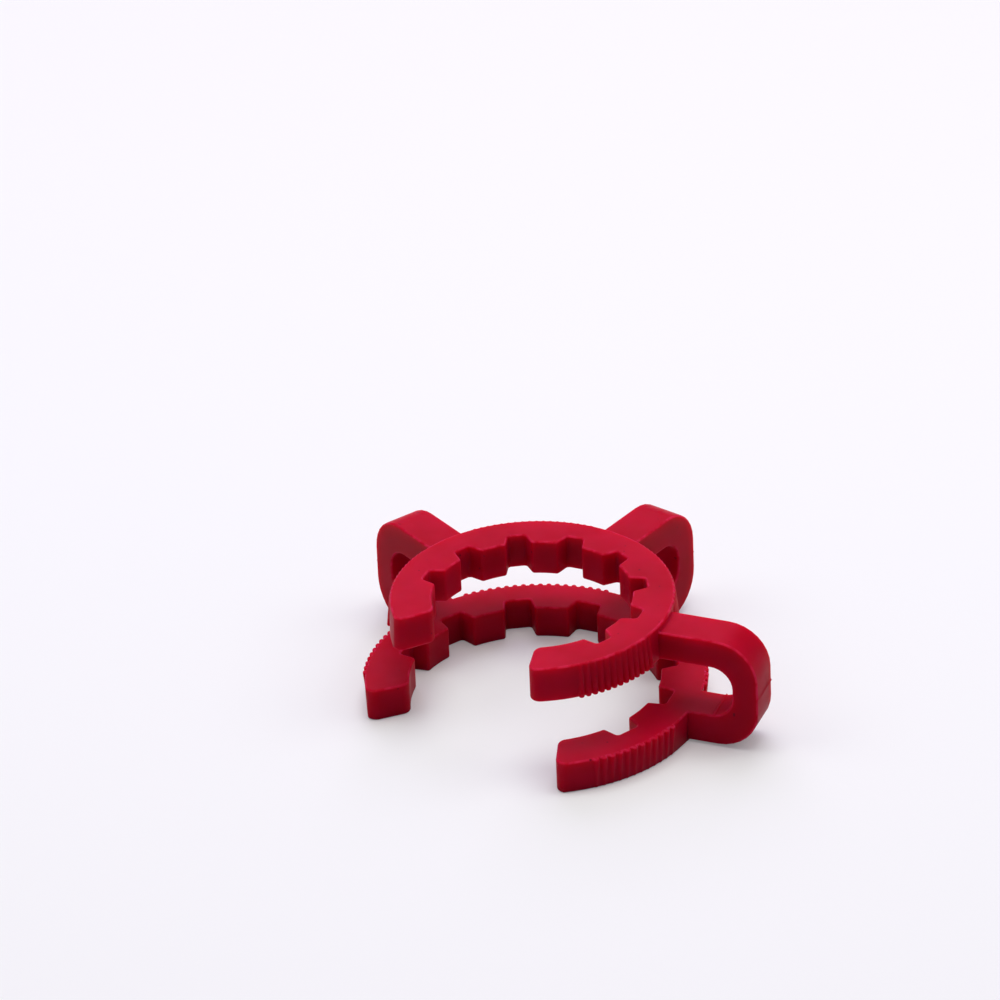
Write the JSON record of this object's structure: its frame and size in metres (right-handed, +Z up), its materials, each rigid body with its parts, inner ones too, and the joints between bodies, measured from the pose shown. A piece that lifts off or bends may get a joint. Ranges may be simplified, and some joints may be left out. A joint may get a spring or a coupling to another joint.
{
  "type": "ground glass joint clip",
  "caption": "Moulded plastic clip that snaps round a conical ground glass joint: a small C-shaped toothed jaw above a larger one, joined by sprung loops.",
  "frame": {"origin": "on the axis that both jaws share, at the underside of the large jaw, which is the plane the clip lies on", "axes": "+Z up along the jaws' axis, from the large jaw to the small jaw; +Y towards the back loop, away from the mouths; +X completes the right-handed frame"},
  "size_m": [0.0644, 0.0486, 0.0173],
  "materials": {
    "clip_plastic": "semi-gloss moulded acetal, crimson"
  },
  "bodies": {
    "root": {"joint_clip": "clip_plastic"}
  },
  "joints": []
}
